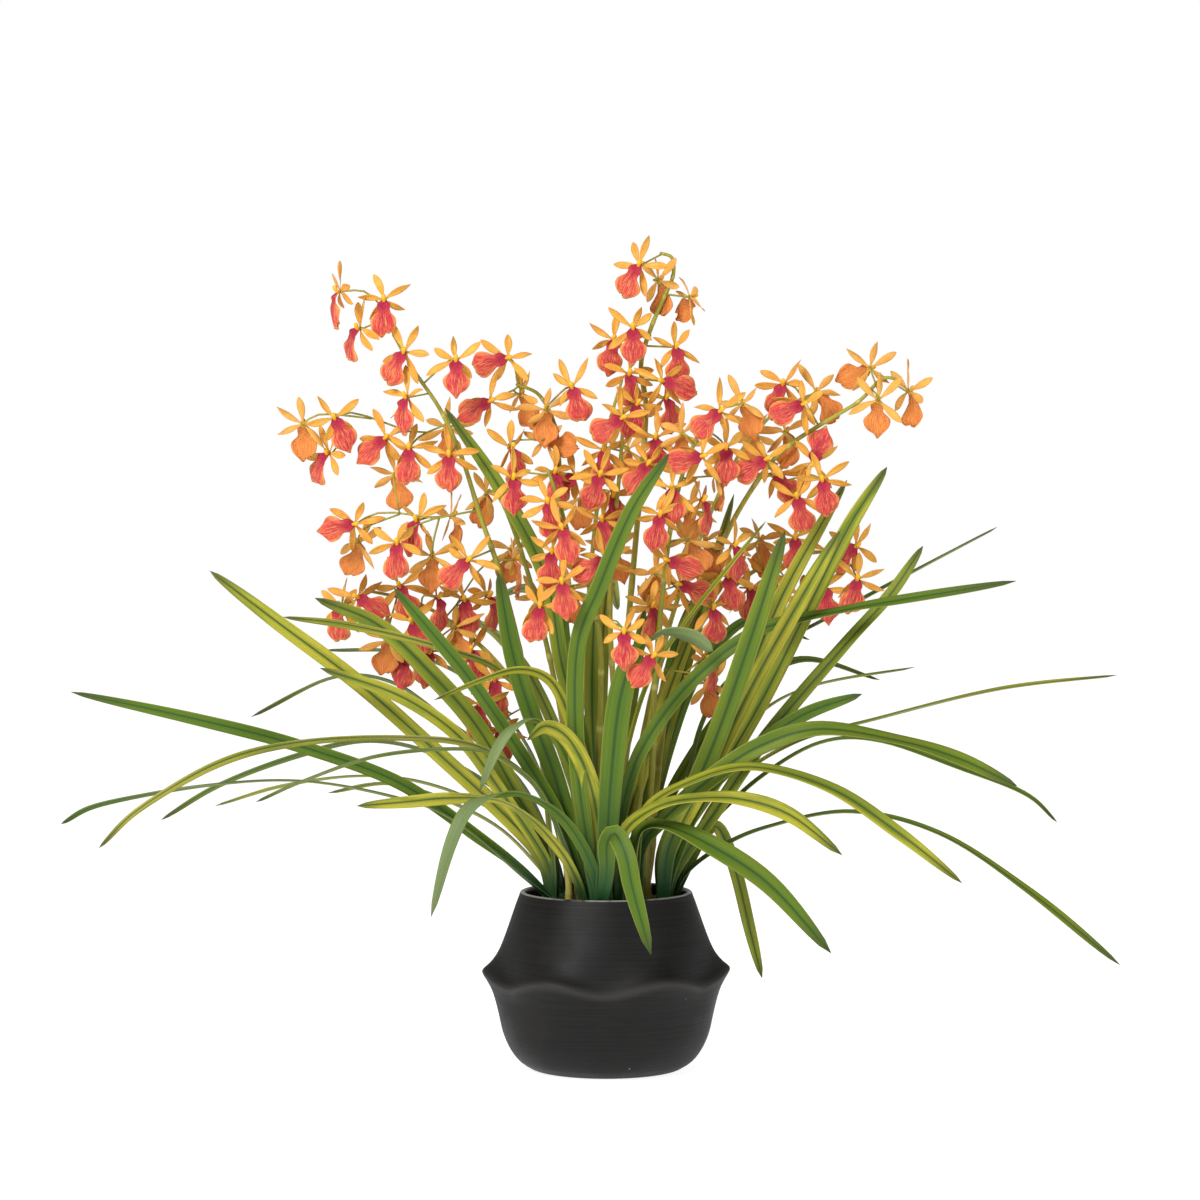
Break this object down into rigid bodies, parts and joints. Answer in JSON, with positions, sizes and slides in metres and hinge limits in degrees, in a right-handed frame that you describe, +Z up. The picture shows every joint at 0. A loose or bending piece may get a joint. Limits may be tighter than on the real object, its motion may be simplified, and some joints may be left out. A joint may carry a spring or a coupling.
{
  "type": "potted dendrobium orchid",
  "caption": "Dendrobium orchid with long strap leaves and sprays of orange and coral blooms in a matte black pinched pot.",
  "frame": {"origin": "centre of the pot's flat foot, on the floor", "axes": "+Z up; -Y towards the viewer of the picture; +X to the right in the picture, along the plant's widest spread of leaves"},
  "size_m": [0.938, 0.43, 0.7488],
  "materials": {
    "pot": "matte charcoal black, thrown and pinched",
    "soil": "bark potting mix with olive moss",
    "leaf": "satin, yellow-green with fine parallel veins",
    "bloom": "soft, golden orange tepals and coral lips on olive stems"
  },
  "bodies": {
    "root": {"pot": "pot", "soil": "soil", "leaf_tuft_back": "leaf", "leaf_tuft_backRight": "leaf", "leaf_tuft_centre": "leaf", "leaf_tuft_front": "leaf", "leaf_tuft_left": "leaf", "leaf_tuft_leftBack": "leaf", "leaf_tuft_leftFront": "leaf", "leaf_tuft_right": "leaf", "leaf_tuft_rightBack": "leaf", "leaf_tuft_rightFront": "leaf", "leaf_tuft_rightMiddle": "leaf", "flower_spray_backCentre": "bloom", "flower_spray_backLeft": "bloom", "flower_spray_backRight": "bloom", "flower_spray_centre": "bloom", "flower_spray_centreLow": "bloom", "flower_spray_centreRight": "bloom", "flower_spray_frontCentre": "bloom", "flower_spray_left": "bloom", "flower_spray_leftLow": "bloom", "flower_spray_rightLow": "bloom", "flower_spray_rightTop": "bloom", "flower_spray_top": "bloom", "flower_spray_upperLeft": "bloom"}
  },
  "joints": []
}
